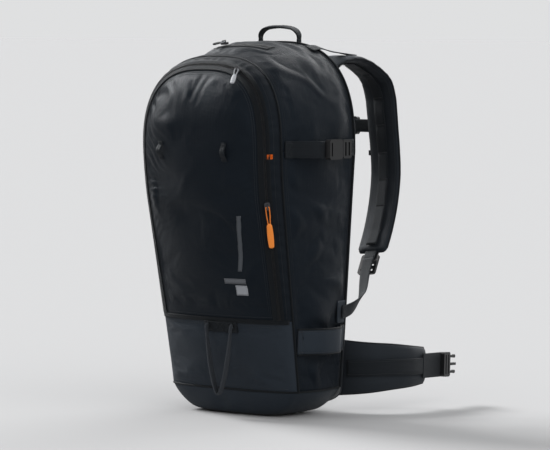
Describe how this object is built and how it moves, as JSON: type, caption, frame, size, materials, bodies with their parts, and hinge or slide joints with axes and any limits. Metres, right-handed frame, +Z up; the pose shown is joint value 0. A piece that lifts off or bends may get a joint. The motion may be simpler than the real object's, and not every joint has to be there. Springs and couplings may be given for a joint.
{
  "type": "ski backpack",
  "caption": "Slim ski touring backpack with a zipped front flap, diagonal ski carry straps and loops on both sides, a padded harness and a hip belt.",
  "frame": {"origin": "centre of the flat board under the base, on the ground", "axes": "+Z up along the back, +X the wearer's right, -Y out of the front flap, away from the wearer"},
  "size_m": [0.3702, 0.4384, 0.5857],
  "materials": {
    "body_fabric": "coated dark charcoal nylon, slight sheen",
    "base_fabric": "coarse abrasion-resistant charcoal fabric",
    "strap_fabric": "padded, matte face fabric",
    "spacer_mesh": "three-dimensional mesh over foam",
    "pocket_mesh": "soft pocket fabric",
    "lining_fabric": "light orange lining fabric",
    "webbing": "woven polyamide webbing",
    "zip_tape": "zip tape with coil",
    "buckle_plastic": "moulded, satin",
    "zip_metal": "dark coated zip slider",
    "orange_cord": "orange cord with moulded grip",
    "grey_cord": "grey cord with moulded grip",
    "reflective": "retroreflective film",
    "sheet_plastic": "sheet plastic",
    "stay_alloy": "satin"
  },
  "bodies": {
    "pack": {"side_panel_left": "body_fabric", "side_panel_right": "body_fabric", "crown_panel": "body_fabric", "zip_gusset": "body_fabric", "back_panel": "body_fabric", "lower_front_panel": "base_fabric", "base_panel": "base_fabric", "ski_loop_left": "base_fabric", "ski_loop_right": "base_fabric", "strap_tab_left": "base_fabric", "strap_tab_right": "base_fabric", "shoulder_strap_left": "strap_fabric", "shoulder_strap_right": "strap_fabric", "back_pad_left": "spacer_mesh", "back_pad_right": "spacer_mesh", "lumbar_pad": "spacer_mesh", "goggle_pocket": "pocket_mesh", "probe_sleeve": "lining_fabric", "shovel_sleeve": "lining_fabric", "strap_webbing_left": "webbing", "strap_webbing_right": "webbing", "load_lifter_left": "webbing", "load_lifter_right": "webbing", "ski_strap_left": "webbing", "ski_strap_right": "webbing", "axe_anchor": "webbing", "body_zip_tape": "zip_tape", "pocket_zip_tape": "zip_tape", "sternum_rail_left": "buckle_plastic", "sternum_rail_right": "buckle_plastic", "ski_socket_left": "buckle_plastic", "ski_socket_right": "buckle_plastic", "base_board": "buckle_plastic", "frame_sheet": "sheet_plastic", "frame_stays": "stay_alloy"},
    "front_flap": {"front_flap": "body_fabric", "flap_zip_tape": "zip_tape", "reflective_marks": "reflective", "helmet_loops": "webbing"},
    "side_slider": {"zip_slider_side": "zip_metal"},
    "side_pull": {"zip_pull_side": "orange_cord"},
    "top_slider": {"zip_slider_top": "zip_metal"},
    "top_pull": {"zip_pull_top": "grey_cord"},
    "pocket_slider": {"pocket_slider": "zip_metal"},
    "pocket_pull": {"pocket_pull": "grey_cord"},
    "haul_loop": {"haul_loop": "webbing"},
    "hip_wing_left": {"hip_wing_left": "strap_fabric", "hip_webbing_left": "webbing", "hip_socket": "buckle_plastic"},
    "hip_wing_right": {"hip_wing_right": "strap_fabric", "hip_webbing_right": "webbing"},
    "hip_prong": {"hip_prong": "buckle_plastic"},
    "sternum_strap": {"sternum_webbing": "webbing", "sternum_socket": "buckle_plastic"},
    "sternum_prong": {"sternum_prong": "buckle_plastic"},
    "ski_prong_left": {"ski_prong_left": "buckle_plastic"},
    "ski_prong_right": {"ski_prong_right": "buckle_plastic"},
    "axe_loop": {"axe_loop": "webbing"},
    "strap_buckle_left": {"strap_buckle_left": "buckle_plastic"},
    "strap_buckle_right": {"strap_buckle_right": "buckle_plastic"}
  },
  "joints": [
    {"name": "flap_hinge", "type": "hinge", "parent": "pack", "child": "front_flap", "pos_m": [0, -0.0867, 0.1484], "axis": [1, 0, 0], "range_deg": [0, 100]},
    {"name": "side_zip", "type": "slide", "parent": "front_flap", "child": "side_slider", "axis": [0.0219, -0.188, 0.9819], "range_m": [-0.155, 0.01]},
    {"name": "side_pull_swing", "type": "hinge", "parent": "side_slider", "child": "side_pull", "pos_m": [0.12155, -0.10624, 0.31965], "axis": [-0.7427, -0.6606, -0.1095], "range_deg": [0, 150]},
    {"name": "top_zip", "type": "hinge", "parent": "front_flap", "child": "top_slider", "pos_m": [0, -0.13646, 0.31904], "axis": [0, -0.9863, 0.165], "range_deg": [0, 34]},
    {"name": "top_pull_swing", "type": "hinge", "parent": "top_slider", "child": "top_pull", "pos_m": [0.06433, -0.10865, 0.5226], "axis": [-0.9503, -0.3112, 0], "range_deg": [0, 150]},
    {"name": "pocket_zip", "type": "slide", "parent": "pack", "child": "pocket_slider", "axis": [1, 0, 0], "range_m": [0, 0.076]},
    {"name": "pocket_pull_swing", "type": "hinge", "parent": "pocket_slider", "child": "pocket_pull", "pos_m": [-0.038, -0.01914, 0.56232], "axis": [-1, 0, 0], "range_deg": [0, 170]},
    {"name": "haul_loop_fold", "type": "hinge", "parent": "pack", "child": "haul_loop", "pos_m": [0, 0.0675, 0.5655], "axis": [1, 0, 0], "range_deg": [-60, 60]},
    {"name": "hip_wing_left_wrap", "type": "hinge", "parent": "pack", "child": "hip_wing_left", "pos_m": [-0.081, 0.079, 0.068], "axis": [0, 0, -1], "range_deg": [-8, 34]},
    {"name": "hip_wing_right_wrap", "type": "hinge", "parent": "pack", "child": "hip_wing_right", "pos_m": [0.081, 0.079, 0.068], "axis": [0, 0, 1], "range_deg": [-8, 34]},
    {"name": "hip_prong_adjust", "type": "slide", "parent": "hip_wing_right", "child": "hip_prong", "axis": [0.1642, -0.9853, 0.0469], "range_m": [0, 0.03]},
    {"name": "sternum_height", "type": "slide", "parent": "pack", "child": "sternum_strap", "axis": [0, 0, 1], "range_m": [-0.025, 0.025]},
    {"name": "sternum_release", "type": "slide", "parent": "sternum_strap", "child": "sternum_prong", "axis": [1, 0, 0], "range_m": [0, 0.025]},
    {"name": "ski_release_left", "type": "slide", "parent": "pack", "child": "ski_prong_left", "axis": [0, 1, 0], "range_m": [0, 0.03]},
    {"name": "ski_release_right", "type": "slide", "parent": "pack", "child": "ski_prong_right", "axis": [0, 1, 0], "range_m": [0, 0.03]},
    {"name": "axe_loop_swing", "type": "hinge", "parent": "pack", "child": "axe_loop", "pos_m": [0, -0.09017, 0.136], "axis": [-1, 0, 0], "range_deg": [0, 60]},
    {"name": "strap_buckle_left_tilt", "type": "hinge", "parent": "pack", "child": "strap_buckle_left", "pos_m": [-0.10749, 0.15784, 0.23467], "axis": [0.9925, -0.0666, -0.1029], "range_deg": [0, 30]},
    {"name": "strap_buckle_right_tilt", "type": "hinge", "parent": "pack", "child": "strap_buckle_right", "pos_m": [0.10749, 0.15784, 0.23467], "axis": [0.9925, 0.0666, 0.1029], "range_deg": [0, 30]}
  ]
}
